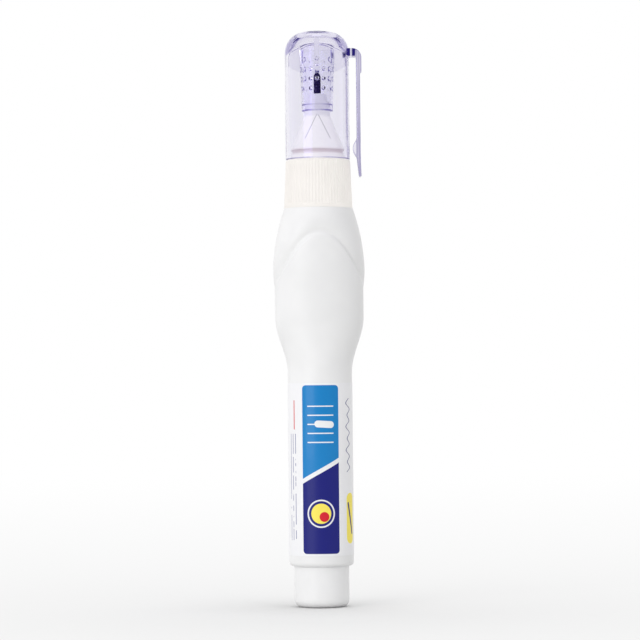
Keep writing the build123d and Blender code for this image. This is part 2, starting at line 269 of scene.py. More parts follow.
capTint = dict(
    pale=(0.95, 0.944, 0.978, 1.0), deep=(0.925, 0.917, 0.963, 1.0), flow=0.35, flowDepth=0.01,
    ior=1.49, gleam=(0.3, 0.25, 0.6, 1.0), roughness=0.02,
    smear=1.6, smearDetail=3.0, smearEdge=(0.65, 0.15), smearRoughness=0.05,
    absorb=(0.24, 0.16, 0.58, 1.0), density=40.0, shade=(0.98, 0.98, 0.99, 1.0),
    sleeve=(0.915, 0.912, 0.965, 1.0), sleeveRadius=(4.6, 0.1), sleeveTop=(131.5, 0.5),
    root=(0.2, 0.16, 0.6, 1.0), rootRadius=(3.9, 0.05), rootSide=(3.45, 0.1),
    rootLow=(127.6, 0.6), rootHigh=(131.8, 0.4),
    armShade=(0.39, 0.365, 0.55, 1.0), armHighlight=(0.7, 0.68, 0.79, 1.0), armSide=(9.05, 0.1),
    streakAcross=3.0, streakAlong=0.08, streakEdge=(0.5, 0.15),
    bridge=(0.02, 0.013, 0.17, 1.0), bridgeFrom=(6.3, 0.3), bridgeTo=(9.05, 0.15), bridgeLow=(129.15, 0.15),
    bridgeHigh=(131.0, 0.1), bridgeHalf=(3.0, 0.2), bridgeSplit=8.05, splitHalf=(0.2, 0.1),
    rim=(0.2, 0.16, 0.52, 1.0), rimHalf=(0.16, 0.08), rimSides=(1.5, 1.1), rimLeast=0.3, rimSoft=0.05,
    rims=((104.95, 7.75, 0.7), (116.4, 4.45, 1.0), (117.75, 4.45, 0.5)),  # height, radius, share
    lost=(0.06, 0.04, 0.26, 1.0), lostAfter=3.5,
    crownLost=(0.7, 0.68, 0.82, 1.0), crownFoot=(130.1, 0.5), crownRadius=(3.6, 0.6),
)


def capPlastic():
    # clear plastic, tinted at its surfaces and a little by its thickness; painted shade makes the sleeve,
    # the bore behind the side webs, the clip arm and the rims deeper violet and the solid bridge of the clip
    # nearly black, and pale streaks on the arm are painted highlights; light that keeps being mirrored
    # inside ends on a painted violet glow, and light for what stands inside passes straight through
    material, tree = newMaterial("capViolet")
    c = capTint
    x, y, z, where = tree.place()
    radius = (x * x + y * y) ** 0.5
    flow = tree.noise(where, c["flow"])
    colour = tree.mix(flow, c["deep"], c["pale"])

    # painted shade: the sleeve painted a deeper violet
    sleeve = (1 - tree.past(radius, *c["sleeveRadius"])) * (1 - tree.past(z, *c["sleeveTop"]))
    colour = tree.mix(sleeve, colour, c["sleeve"])

    root = (1 - tree.past(radius, *c["rootRadius"])) * tree.past(abs(x), *c["rootSide"])
    root = root * tree.past(z, *c["rootLow"]) * (1 - tree.past(z, *c["rootHigh"]))
    colour = tree.mix(root, colour, c["root"])  # painted shade: bore of the sleeve behind the side webs, darkened violet

    # painted shade makes the clip arm a deeper violet, with paler streaks along it as painted highlights
    streak = tree.noise(tree.stretched(x, y, z, c["streakAcross"], c["streakAlong"]))
    armShade = tree.mix(tree.past(streak, *c["streakEdge"]), c["armShade"], c["armHighlight"])
    colour = tree.mix(tree.past(x, *c["armSide"]), colour, armShade)

    # painted shade: the solid bridge painted nearly black violet, except along its seam with the clip
    bridge = tree.past(x, *c["bridgeFrom"]) * (1 - tree.past(x, *c["bridgeTo"]))
    bridge = bridge * tree.past(z, *c["bridgeLow"]) * (1 - tree.past(z, *c["bridgeHigh"]))
    split = tree.past(abs(x - c["bridgeSplit"]), *c["splitHalf"])
    bridge = bridge * split * tree.within(y, *c["bridgeHalf"])
    colour = tree.mix(bridge, colour, c["bridge"])

    ends = tree.past(abs(x), *c["rimSides"]) * (1 - c["rimLeast"]) + c["rimLeast"]  # painted shade: dark violet lines at the rims, deepest at the sides
    for height, limit, share in c["rims"]:
        rim = tree.within(z - height, *c["rimHalf"]) * (1 - tree.past(radius, limit, c["rimSoft"]))
        colour = tree.mix(rim * ends * share, colour, c["rim"])

    smear = tree.past(tree.noise(where, c["smear"], c["smearDetail"]), *c["smearEdge"])
    glass = tree.node("BsdfPrincipled", {}, {
        "Base Color": colour,
        "Roughness": c["roughness"] + smear * c["smearRoughness"],
        "IOR": c["ior"],
        "Transmission Weight": 1.0,
        "Specular Tint": c["gleam"],
        "Normal": tree.bump(flow * c["flowDepth"]),
    })
    # painted glow: rays mirrored inside more than three times end on a violet emission, paler in the crown
    crown = tree.past(z, *c["crownFoot"]) * tree.past(radius, *c["crownRadius"])
    glow = tree.node("Emission", {}, {"Color": tree.mix(crown, c["lost"], c["crownLost"]), "Strength": 1.0})
    lost = tree.maths("GREATER_THAN", tree.ray("Glossy Depth"), c["lostAfter"])
    solid = tree.node("MixShader", {}, {0: lost, 1: glass, 2: glow})
    clear = tree.node("BsdfTransparent", {}, {"Color": c["shade"]})
    through = tree.maths("MAXIMUM", tree.ray("Is Shadow Ray"), tree.ray("Is Diffuse Ray"))
    absorb = tree.node("VolumeAbsorption", {}, {"Color": c["absorb"], "Density": c["density"]})
    tree.finish(tree.node("MixShader", {}, {0: through, 1: solid, 2: clear}), absorb)
    return material


labelRadius, labelFoot, labelTop = span("label")
artwork = dict(  # boxes are middle u and v, half width, half height and corner
    navy=srgb(10, 18, 118), sky=srgb(8, 128, 196), yellow=srgb(250, 232, 96), red=srgb(214, 26, 44),
    film=srgb(240, 240, 242), lineInk=srgb(60, 66, 140), waveInk=srgb(46, 46, 120),
    backInk=srgb(110, 160, 215),
    edge=0.06, panelHalf=4.45, panelMargin=0.5, panelCorner=0.9, slant=0.55, splitAt=20.4, split=0.55,
    discPlace=0.755, disc=2.35, dot=1.15, dotShift=0.75, ring=3.1, ringHalf=0.17,
    page=(0.0, 9.6, 3.1, 5.2, 0.3), pageGap=2.1, pageHalf=0.13,
    cover=dict(cu=0.9, cv=9.6, slope=0.06, halfLength=1.5, halfWidth=0.8),
    lines=(-7.6, 24.2, 1.25, 12.4, 0.1), lineGap=0.95, lineHalf=0.09, breaks=0.5, breakEdge=(0.58, 0.02),
    bar=(-7.1, 7.4, 0.16, 3.4, 0.1),
    wave=(7.6, 12.2, 2.0, 8.6, 0.1), waveHalf=0.13, swings=((2.3, 0.55), (1.1, 0.25)),
    tablet=(8.3, 31.6, 1.5, 5.9, 1.4),
    tabletBar=dict(cu=8.3, cv=31.6, slope=4.0, halfLength=3.6, halfWidth=0.28),
    backHalf=5.2, backMargin=3.0, backStart=1.0, backGap=2.4, backLine=0.08, backCorner=0.1,
    grain=1.4, grainDepth=0.004, roughness=0.34, glossSpread=0.12, ior=1.36, coat=0.1,
)


def printedFilm():
    # plain film with a two-coloured front panel, lines on it and beside it, and a ruled panel at the back
    material, tree = newMaterial("labelFilm")
    p = artwork
    x, y, z, where = tree.place()
    edge = p["edge"]
    height = labelTop - labelFoot
    middle = height / 2
    u = tree.maths("ARCTAN2", x, -y) * labelRadius  # round the barrel from the middle of the front
    v = labelTop - z  # down from the upper edge

    def box(cu, cv, halfU, halfV, corner):  # rounded rectangle
        du = tree.maths("MAXIMUM", abs(u - cu) - (halfU - corner), 0.0)
        dv = tree.maths("MAXIMUM", abs(v - cv) - (halfV - corner), 0.0)
        return 1 - tree.past((du * du + dv * dv) ** 0.5, corner, edge)

    def disc(cu, cv, radius):
        away = ((u - cu) * (u - cu) + (v - cv) * (v - cv)) ** 0.5
        return 1 - tree.past(away, radius, edge)

    def stroke(cu, cv, slope, halfLength, halfWidth):  # slanted bar with round ends
        long = math.hypot(1, slope)
        along = ((u - cu) + (v - cv) * slope) / long
        across = ((v - cv) - (u - cu) * slope) / long
        over = tree.maths("MAXIMUM", abs(along) - halfLength, 0.0)
        return 1 - tree.past((over * over + across * across) ** 0.5, halfWidth, edge)

    def rules(value, gap, half):  # evenly spaced thin lines
        return tree.within(tree.maths("PINGPONG", value, gap / 2), half, edge)

    panel = box(0.0, middle, p["panelHalf"], middle - p["panelMargin"], p["panelCorner"])
    split = v + u * p["slant"] - p["splitAt"]
    colour = tree.mix(panel * tree.past(split, p["split"], edge), p["film"], p["navy"])
    colour = tree.mix(panel * (1 - tree.past(split, -p["split"], edge)), colour, p["sky"])

    discV = height * p["discPlace"]  # ring and two discs on the dark half
    ring = disc(0.0, discV, p["ring"] + p["ringHalf"]) - disc(0.0, discV, p["ring"] - p["ringHalf"])
    colour = tree.mix(ring, colour, p["film"])
    colour = tree.mix(disc(0.0, discV, p["disc"]), colour, p["yellow"])
    colour = tree.mix(disc(p["dotShift"], discV + p["dotShift"], p["dot"]), colour, p["red"])

    ruledPage = box(*p["page"]) * rules(v - p["page"][1], p["pageGap"], p["pageHalf"])  # on the pale half
    colour = tree.mix(ruledPage, colour, p["film"])
    colour = tree.mix(stroke(**p["cover"]), colour, p["film"])

    lines = box(*p["lines"]) * rules(u - p["lines"][0], p["lineGap"], p["lineHalf"])  # beside the panel
    broken = 1 - tree.past(tree.noise(where, p["breaks"], 1.0), *p["breakEdge"])
    colour = tree.mix(lines * broken, colour, p["lineInk"])
    colour = tree.mix(box(*p["bar"]), colour, p["red"])
    wave = u - p["wave"][0]
    for pace, swing in p["swings"]:
        wave = wave - tree.maths("SINE", v * pace) * swing
    colour = tree.mix(tree.within(wave, p["waveHalf"], edge) * box(*p["wave"]), colour, p["waveInk"])
    colour = tree.mix(box(*p["tablet"]), colour, p["yellow"])
    colour = tree.mix(stroke(**p["tabletBar"]), colour, p["navy"])

    halfRound = math.pi * labelRadius
    beside = box(0.0, middle, halfRound - p["backHalf"], height, p["backCorner"])  # all but the back
    ruled = (1 - beside) * rules(v - p["backStart"], p["backGap"], p["backLine"])
    ruled = ruled * box(0.0, middle, 2 * halfRound, middle - p["backMargin"], p["backCorner"])
    colour = tree.mix(ruled, colour, p["backInk"])

    grain = tree.noise(where, p["grain"])
    tree.finish(tree.node("BsdfPrincipled", {}, {
        "Base Color": colour,
        "Roughness": p["roughness"] + (grain - 0.5) * p["glossSpread"],
        "Normal": tree.bump(grain * p["grainDepth"]),
        "IOR": p["ior"],
        "Coat Weight": panel * p["coat"],
    }))
    return material


bottleWhite = mouldedPlastic("bottleWhite", srgb(238, 238, 238), 0.42, seam=True)
plugWhite = mouldedPlastic("plugWhite", srgb(241, 241, 241), 0.4)
collarCream = mouldedPlastic("collarCream", srgb(242, 238, 233), 0.46)
naturalPlastic = mouldedPlastic("naturalPlastic", srgb(226, 225, 220), 0.45)
gasketRubber = mouldedPlastic("gasketRubber", srgb(158, 158, 162), 0.7)
nozzleWhite = nozzlePlastic()
tipSteel = metal("tipSteel", (0.012, 0.009, 0.02, 1.0), 0.22, 6.0)
wireSteel = metal("wireSteel", (0.42, 0.42, 0.44, 1.0), 0.3, 9.0)
ballSteel = metal("ballSteel", (0.6, 0.6, 0.62, 1.0), 0.16, 1.0)
labelFilm = printedFilm()
capViolet = capPlastic()
print("materials ready")


# Surfaces: grids of points from numpy

guard = dict(room=0.25, reach=0.3)  # how far out guard points stand, as shares of the free wall and the arc


def softOutline(corners, steps=9, closed=False):
    # each corner (r, z, soft) becomes an arc from soft before it to soft past it, as a weighted quadratic
    # curve, and a guard point on each side keeps the shading of the straight walls flat
    table = np.array(corners, float)
    point = table[:, :2]
    reach = table[:, 2:]

    def towards(step):  # direction of a neighbouring corner, and how far that way the guard point stands
        way = np.roll(point, step, 0) - point
        long = np.linalg.norm(way, axis=1, keepdims=True)
        room = long - reach - np.roll(reach, step, 0)
        return way / long, reach + np.minimum(guard["room"] * room, guard["reach"] * reach)

    back, backGuard = towards(1)
    ahead, aheadGuard = towards(-1)
    weight = np.sqrt((1 - (back * ahead).sum(1, keepdims=True)) / 2)[:, None]
    t = np.linspace(0, 1, steps)[None, :, None]
    start = (point + back * reach)[:, None]
    end = (point + ahead * reach)[:, None]
    first = (1 - t) ** 2
    second = 2 * t * (1 - t) * weight
    third = t**2
    arc = (first * start + second * point[:, None] + third * end) / (first + second + third)
    before = (point + back * backGuard)[:, None]
    after = (point + ahead * aheadGuard)[:, None]
    rows = np.concatenate([before, arc, after], 1)
    if closed:
        return rows.reshape(-1, 2)
    return np.concatenate([point[:1], rows[1:-1].reshape(-1, 2), point[-1:]])


def around(columns):  # angles from +X, counter-clockwise
    return np.arange(columns) * 2 * np.pi / columns


def polar(radius, z, columns):
    # point at every height and angle: x = r cos a, y = r sin a
    angle = around(columns)
    radius = np.broadcast_to(radius, (len(radius), columns))
    z = np.broadcast_to(z, radius.shape)
    return np.stack([radius * np.cos(angle), radius * np.sin(angle), z], -1)


def lathe(outline, columns):  # the outline turned about Z, with the wall on the left of its direction
    return polar(outline[:, :1], outline[:, 1:], columns)


def smoothShaded(mesh):
    mesh.polygons.foreach_set("use_smooth", np.ones(len(mesh.polygons), bool))
    mesh.update()


def gridMesh(name, grid, loop):
    # quads between neighbouring points, closed round each row; rows either close on themselves (loop),
    # or shrink to one point at the first and last row
    rows, columns = grid.shape[:2]
    here = np.arange(columns)
    there = (here + 1) % columns
    if loop:
        low = np.arange(rows)[:, None] * columns
        high = np.roll(low, -1, 0)
        points = grid.reshape(-1, 3)
        fans = []
    else:
        low = 1 + np.arange(rows - 3)[:, None] * columns
        high = low + columns
        points = np.concatenate([grid[:1, 0], grid[1:-1].reshape(-1, 3), grid[-1:, 0]])
        last = len(points) - 1
        top = last - columns
        zero = np.zeros_like(here)
        fans = np.stack([zero, 1 + there, 1 + here], -1).tolist()
        fans += np.stack([top + here, top + there, zero + last], -1).tolist()
    quads = np.stack(np.broadcast_arrays(low + here, low + there, high + there, high + here), -1)
    mesh = bpy.data.meshes.new(name)
    mesh.from_pydata((points * mm).tolist(), [], quads.reshape(-1, 4).tolist() + fans)
    smoothShaded(mesh)
    return mesh


def addPiece(mesh, material, body, node):
    piece = bpy.data.objects.new(mesh.name, mesh)
    bpy.context.collection.objects.link(piece)
    mesh.materials.clear()
    mesh.materials.append(material)
    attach(piece, body)
    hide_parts(node)
    print(mesh.name, len(mesh.polygons), "faces")
    return piece


def ease(share):  # smooth step from 0 to 1
    share = np.clip(share, 0, 1)
    return share * share * (3 - 2 * share)


thread = dict(
    start=95.3, pitch=2.0, rootHalf=0.45, crestHalf=0.2, height=0.5, neckTurns=2.25, collarTurns=1.5,
    rowMargin=0.05,
)


def ridge(z, angle, start, turns):
    # height of a helical ridge: distance along Z to the nearest turn, sloping from its crest to its root
    phase = (z - start) / thread["pitch"] - angle / (2 * np.pi)
    turn = np.clip(np.round(phase), 0, None)
    turn = np.where(turn + angle / (2 * np.pi) > turns, turn - 1, turn)
    far = np.abs(phase - turn) * thread["pitch"]
    ended = (turn < 0) | (far > thread["rootHalf"])
    slope = (thread["rootHalf"] - far) / (thread["rootHalf"] - thread["crestHalf"])
    return np.where(ended, 0, np.clip(slope, 0, 1) * thread["height"])


# Bottle

bottleFoot, neckTop = span("bottle")[1:]
bottle = dict(
    columns=208, barrel=labelRadius - 0.06, wall=1.1, widestRadius=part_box("bottle")[1][0] / mm,
    boreFoot=3, footEdge=0.15, endSoft=0.9, edge=0.1,
    gripFoot=55.0, rise=12.8, widest=77.2, top=93.4, topRadius=8.08, topSoft=0.02, topMargin=0.3,
    padStep=0.4, padSwell=1.5, padTurn=3.0, padFlat=0.3, frontFrom=0.1, frontTo=0.5,
    apex=87.4, archHeight=12.8, archSlope=0.4, ledge=5.6, hollow=0.85, padEdge=2.2, padSideEdge=0.8,
    neck=6.1, neckBore=4.9, neckEdge=0.2, mouthEdge=0.15, insideRadius=7.0, insideEdge=0.3, insideTop=0.6,
    threadFoot=0.7, threadTop=0.6, threadRowGap=0.1, rowGap=0.35, fineFoot=74.0, fineGap=0.13, insideRows=60,
)


def shoulderRadius(z):  # wide arc, upright where the shoulder is widest
    fall = bottle["widestRadius"] - bottle["topRadius"]
    drop = bottle["top"] - bottle["widest"]
    arc = (fall**2 + drop**2) / (2 * fall)
    return bottle["widestRadius"] - arc + np.sqrt(arc**2 - np.maximum(z - bottle["widest"], 0) ** 2)


def gripRadius(z, angle, inset):
    # thumb pads below an arch, as an ellipse that grows squarer upwards, and a round shoulder above it; at
    # the front and back the shoulder sinks in a square curve to a hollow along the arch, and the edge of the
    # pad stands up out of it
    b = bottle
    angle = angle - math.radians(b["padTurn"])
    shoulder = shoulderRadius(z)
    limit = shoulder - b["padStep"]
    swell = b["widestRadius"] - b["padStep"] - b["barrel"]
    width = np.minimum(b["barrel"] + swell * ease((z - b["gripFoot"]) / b["rise"]), limit)
    climb = ease((z - b["gripFoot"]) / (b["apex"] - b["gripFoot"]))
    depth = np.minimum(b["barrel"] + b["padSwell"] * climb, limit)
    power = 2 + b["padFlat"] * climb
    sides = np.abs(np.cos(angle) / width) ** power + np.abs(np.sin(angle) / depth) ** power
    pad = np.minimum(sides ** (-1 / power), limit)
    lift = b["archSlope"] * shoulderRadius(np.array(b["apex"]))
    across = shoulder * np.cos(angle) / b["widestRadius"]
    slope = b["archSlope"] * np.abs(shoulder * np.sin(angle))
    arch = b["apex"] - lift + slope - (b["archHeight"] - lift) * across**2
    front = ease((np.abs(np.sin(angle)) - b["frontFrom"]) / (b["frontTo"] - b["frontFrom"]))
    sunk = (1 - np.clip((z - arch) / b["ledge"], 0, 1)) ** 2
    outside = shoulder + (pad - b["hollow"] * front - shoulder) * sunk
    edge = b["padSideEdge"] + (b["padEdge"] - b["padSideEdge"]) * front
    return pad + (outside - pad) * ease((z - arch) / edge + 0.5) - inset


def makeBottle():
    b = bottle
    angle = around(b["columns"])
    even = np.ones_like(angle)
    bore = b["barrel"] - b["wall"]
    boreFoot = bottleFoot + b["boreFoot"]
    gripTop = b["top"] - b["topSoft"] - b["topMargin"]
    ceiling = b["top"] - b["wall"]
    coarseZ = np.arange(b["gripFoot"] + b["rowGap"], b["fineFoot"], b["rowGap"])
    gripZ = np.concatenate([coarseZ, np.arange(b["fineFoot"], gripTop, b["fineGap"])])[:, None]
    insideZ = np.linspace(ceiling - b["insideTop"], b["gripFoot"], b["insideRows"])[:, None]
    neckZ = np.arange(b["top"] + b["threadFoot"], neckTop - b["threadTop"], b["threadRowGap"])[:, None]
    foot = softOutline([
        (bore, boreFoot, b["edge"]), (bore, bottleFoot, b["footEdge"]),
        (b["barrel"], bottleFoot, b["endSoft"]), (b["barrel"], b["gripFoot"], b["edge"]),
    ])[1:]
    shoulder = softOutline([
        (float(shoulderRadius(gripTop)), gripTop, b["edge"]), (b["topRadius"], b["top"], b["topSoft"]),
        (b["neck"], b["top"], b["neckEdge"]), (b["neck"], neckZ[0, 0] - thread["rowMargin"], b["edge"]),
    ])
    mouth = softOutline([
        (b["neck"], neckZ[-1, 0] + thread["rowMargin"], b["edge"]), (b["neck"], neckTop, b["mouthEdge"]),
        (b["neckBore"], neckTop, b["mouthEdge"]), (b["neckBore"], ceiling, b["insideEdge"]),
        (b["insideRadius"], ceiling - b["insideEdge"], b["edge"]),
    ])
    neck = b["neck"] + ridge(neckZ, angle, thread["start"], thread["neckTurns"])
    radius = np.concatenate([
        foot[:, :1] * even, gripRadius(gripZ, angle, 0), shoulder[:, :1] * even, neck, mouth[:, :1] * even,
        gripRadius(insideZ, angle, b["wall"]), bore * even[None],
    ])
    z = np.concatenate([foot[:, 1:], gripZ, shoulder[:, 1:], neckZ, mouth[:, 1:], insideZ, [[boreFoot]]])
    return gridMesh("bottleShell", polar(radius, z, b["columns"]), True)


addPiece(makeBottle(), bottleWhite, "bottle", "bottle")


# Tail plug

plugRadius, plugFoot, plugTop = span("tail_plug")
plug = dict(columns=128, edgeSoft=1.7, wall=1.2, floor=1.5, rimEdge=0.25, insideSoft=0.5)


def makePlug():
    inside = plugRadius - plug["wall"]
    floor = plugFoot + plug["floor"]
    outline = softOutline([
        (0, plugFoot, 0), (plugRadius, plugFoot, plug["edgeSoft"]), (plugRadius, plugTop, plug["rimEdge"]),
        (inside, plugTop, plug["rimEdge"]), (inside, floor, plug["insideSoft"]), (0, floor, 0),
    ])
    return gridMesh("tailPlug", lathe(outline, plug["columns"]), False)


addPiece(makePlug(), plugWhite, "bottle", "tail_plug")


# Label film

label = dict(columns=192, thickness=0.05, edge=0.012)


def makeLabel():
    inner = labelRadius - label["thickness"]
    edge = label["edge"]
    outline = softOutline([
        (labelRadius, labelFoot, edge), (labelRadius, labelTop, edge),
        (inner, labelTop, edge), (inner, labelFoot, edge),
    ], steps=3, closed=True)
    return gridMesh("labelFilm", lathe(outline, label["columns"]), True)


addPiece(makeLabel(), labelFilm, "bottle", "label")


# Collar

collarFootRadius, collarFoot, collarTop = span("collar")
collar = dict(
    ribs=64, columnsPerRib=10, ribDepth=0.1, ribPower=1.5, ribStart=0.75, ribFade=0.3, ribLead=0.2,
    flare=0.5, bore=6.9, hole=6.4, plate=1.0, edge=0.1, topSoft=0.5, topFade=0.3, footSoft=0.02,
    footDrop=0.04, boreFoot=0.3, fadeRows=7, threadMargin=0.4, threadRowGap=0.16,
)


def makeCollar():
    # cone with upright grooves: their depth is a power of a cosine wave, and it fades out at foot and top
    c = collar
    edge = c["edge"]
    columns = c["ribs"] * c["columnsPerRib"]
    angle = around(columns)
    topRadius = collarFootRadius - c["flare"]
    slope = c["flare"] / (collarTop - collarFoot)
    foot = collarFoot - c["footDrop"]
    ribFoot = collarFoot + c["ribStart"]
    plateFoot = collarTop - c["plate"]
    threadTop = plateFoot - c["threadMargin"]
    boreZ = np.arange(threadTop, collarFoot + c["threadMargin"], -c["threadRowGap"])[:, None]
    below = softOutline([
        (c["bore"], collarFoot + c["boreFoot"], edge), (c["bore"], foot, edge),
        (collarFootRadius, foot, c["footSoft"]), (collarFootRadius - slope * c["ribStart"], ribFoot, edge),
    ])[1:]
    fadeZ = np.linspace(ribFoot, ribFoot + c["ribFade"], c["fadeRows"])[:, None]
    fade = np.concatenate([collarFootRadius - slope * (fadeZ - collarFoot), fadeZ], 1)[1:]
    ribbed = fade[-1] + [-slope * c["ribLead"], c["ribLead"]]
    above = softOutline([
        (*ribbed, edge), (topRadius, collarTop, c["topSoft"]), (c["hole"], collarTop, edge),
        (c["hole"], plateFoot, edge), (c["bore"], plateFoot, edge),
        (c["bore"], boreZ[0, 0] + thread["rowMargin"], edge),
    ])
    outline = np.concatenate([below, fade, above])
    wall = ease((outline[:, 1:] - ribFoot) / c["ribFade"])
    wall = wall * ease((outline[:, :1] - topRadius + c["topSoft"]) / c["topFade"])
    groove = c["ribDepth"] * (0.5 - 0.5 * np.cos(c["ribs"] * angle)) ** c["ribPower"]
    bore = c["bore"] - ridge(boreZ, angle, thread["start"] + thread["pitch"] / 2, thread["collarTurns"])
    radius = np.concatenate([outline[:, :1] - wall * groove, bore])
    z = np.concatenate([outline[:, 1:], boreZ])
    return gridMesh("ribbedCollar", polar(radius, z, columns), True)


addPiece(makeCollar(), collarCream, "collar", "collar")


# Nozzle

flangeRadius, skirtFoot, snoutTop = span("nozzle")
nozzle = dict(
    columns=160, skirt=4.8, flangeFoot=102.6, flangeTop=103.8, spigot=6.3, groove=5.95, grooveFoot=106.15,
    grooveTop=107.05, coneFoot=107.3, coneTop=115.05, land=3.05, landTop=118.35, snoutFoot=2.5, snout=2.0,
    tipHole=0.88, chamber=2.2, chamberTop=117.75, bore=3.23, boreTop=108.25,
    edge=0.1, skirtEdge=0.2, grooveEdge=0.06, coneEdge=0.08, headEdge=0.3, landEdge=0.15, snoutEdge=0.12,
)


def makeNozzle():
    n = nozzle
    edge = n["edge"]
    outline = softOutline([
        (n["skirt"], skirtFoot, n["skirtEdge"]), (n["skirt"], n["flangeFoot"], edge),
        (flangeRadius, n["flangeFoot"], edge), (flangeRadius, n["flangeTop"], edge),
        (n["spigot"], n["flangeTop"], edge), (n["spigot"], n["grooveFoot"], edge),
        (n["groove"], n["grooveFoot"], edge), (n["groove"], n["grooveTop"], edge),
        (n["spigot"], n["grooveTop"], n["grooveEdge"]), (n["spigot"], n["coneFoot"], n["coneEdge"]),
        (n["land"], n["coneTop"], n["headEdge"]), (n["land"], n["landTop"], n["landEdge"]),
        (n["snoutFoot"], n["landTop"], n["snoutEdge"]), (n["snout"], snoutTop, n["headEdge"]),
        (n["tipHole"], snoutTop, edge), (n["tipHole"], n["chamberTop"], edge),
        (n["chamber"], n["chamberTop"], edge), (n["chamber"], n["boreTop"], edge),
        (n["bore"], n["boreTop"], edge), (n["bore"], skirtFoot, n["skirtEdge"]),
    ], steps=7, closed=True)
    return gridMesh("nozzleCone", lathe(outline, n["columns"]), True)


addPiece(makeNozzle(), nozzleWhite, "head", "nozzle")


# Metal tip and needle

tipFlange, tipFoot, tipTop = span("metal_tip")
needleRadius, needleFoot, needleTop = span("needle")
tip = dict(
    columns=64, flangeTop=117.75, radius=0.85, bore=0.5, noseFoot=124.55, noseRadius=0.55, hole=0.31,
    edge=0.06, noseEdge=0.2, mouthEdge=0.08, holeEdge=0.04,
)
needle = dict(columns=32, footEdge=0.06, roundEnd=0.9)


def makeTip():
    t = tip
    outline = softOutline([
        (tipFlange, tipFoot, t["edge"]), (tipFlange, t["flangeTop"], t["edge"]),
        (t["radius"], t["flangeTop"], t["edge"]), (t["radius"], t["noseFoot"], t["noseEdge"]),
        (t["noseRadius"], tipTop, t["mouthEdge"]), (t["hole"], tipTop, t["holeEdge"]),
        (t["hole"], t["noseFoot"], t["holeEdge"]), (t["bore"], t["noseFoot"], t["holeEdge"]),
        (t["bore"], tipFoot, t["edge"]),
    ], steps=7, closed=True)
    return gridMesh("tipTube", lathe(outline, t["columns"]), True)


def makeNeedle():
    outline = softOutline([
        (0, needleFoot, 0), (needleRadius, needleFoot, needle["footEdge"]),
        (needleRadius, needleTop, needleRadius * needle["roundEnd"]), (0, needleTop, 0),
    ])
    return gridMesh("needleWire", lathe(outline, needle["columns"]), False)


addPiece(makeTip(), tipSteel, "head", "metal_tip")
addPiece(makeNeedle(), wireSteel, "valve", "needle")


# Needle spring, built at its rest length; on the pen it shortens as the needle is pressed in

springRadius, springFoot, springTop = span("needle_spring")
spring = dict(
    wire=0.15, turns=7.0, stepsPerTurn=40, columns=14, endTurns=0.7, endFade=0.5, endGap=0.02, travel=0.5,
)


def makeSpring():
    # round wire carried along a helix; each step rises by the wire's thickness in the closed turns at the
    # ends, and by an even share of what is left between them
    s = spring
    turn = np.linspace(0, s["turns"], int(s["turns"] * s["stepsPerTurn"]) + 1)[:, None]
    ended = np.minimum(turn, s["turns"] - turn)
    free = ease((ended - s["endTurns"]) / s["endFade"])
    closed = 2 * s["wire"] + s["endGap"]
    height = springTop - springFoot - 2 * s["wire"]
    spare = (height - closed * s["turns"]) * (np.cumsum(free) - free[:, 0]) / (free.sum() - free[0])
    z = springFoot + s["wire"] + closed * turn + spare[:, None]
    angle = 2 * np.pi * turn
    out = np.concatenate([np.cos(angle), np.sin(angle), 0 * angle], 1)
    middle = out * (springRadius - s["wire"]) + z * np.array([0, 0, 1])
    ahead = np.gradient(middle, axis=0)
    over = np.cross(ahead / np.linalg.norm(ahead, axis=1, keepdims=True), out)
    section = around(s["columns"])[None, :, None]
    grid = middle[:, None] + s["wire"] * (np.cos(section) * out[:, None] + np.sin(section) * over[:, None])
    ends = [np.repeat(middle[i][None, None], s["columns"], 1) for i in (0, -1)]
    return gridMesh("needleSpring", np.concatenate([ends[0], grid, ends[1]]), False)


springPiece = addPiece(makeSpring(), wireSteel, "head", "needle_spring")
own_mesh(springPiece)


# Clip and its bridge: a section with round edges carried along the path of the clip

capRadius, capFoot, capTop = span("cap")
clipLow, clipHigh = (np.array(corner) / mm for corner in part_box("cap_clip"))
clip = dict(
    bend=clipLow[0], inside=capRadius + 1.6, thickness=0.95, bridge=1.9, gap=0.02, stub=0.12,
    edge=0.1, crisp=0.02, innerSoft=0.45, cornerSoft=2.2, points=48, sectionEdge=0.28, sectionMost=0.8,
    headStep=0.35, headLength=5.6, headUpper=1.2, headEdge=0.15,
    beadFoot=4.4, beadLength=4.4, beadDepth=1.35, beadSoft=1.5, beadBack=1.0, beadTopSoft=0.5,
    beadFootSoft=0.3, kick=0.25, kickLength=3.8, kickSoft=0.2, kickStart=0.03,
    toe=0.12, toeSoft=0.15, toeInside=0.2, toeOutside=0.1, end=0.02, endInside=0.35, endOutside=0.3,
)


def carried(inner, outer, halfWidth):
    # rounded rectangle between an inner and an outer edge point, for every pair of points along the path
    turn = -around(clip["points"])
    tiny = 1e-6  # puts each point on a line between two corners with one of them
    side = np.sign(np.cos(turn - tiny))
    end = np.sign(np.sin(turn - tiny))
    middle = (inner + outer) / 2
    half = np.linalg.norm(outer - middle, axis=1, keepdims=True)
    out = (outer - middle) / half
    corner = np.minimum(clip["sectionEdge"], half * clip["sectionMost"])
    across = side * (half - corner) + corner * np.cos(turn)
    along = end * (halfWidth - corner) + corner * np.sin(turn)
    grid = np.stack([middle[:, :1] + out[:, :1] * across, along, middle[:, 1:] + out[:, 1:] * across], -1)
    ends = [np.repeat(grid[i].mean(0)[None, None], len(turn), 1) for i in (0, -1)]
    return np.concatenate([ends[0], grid, ends[1]])


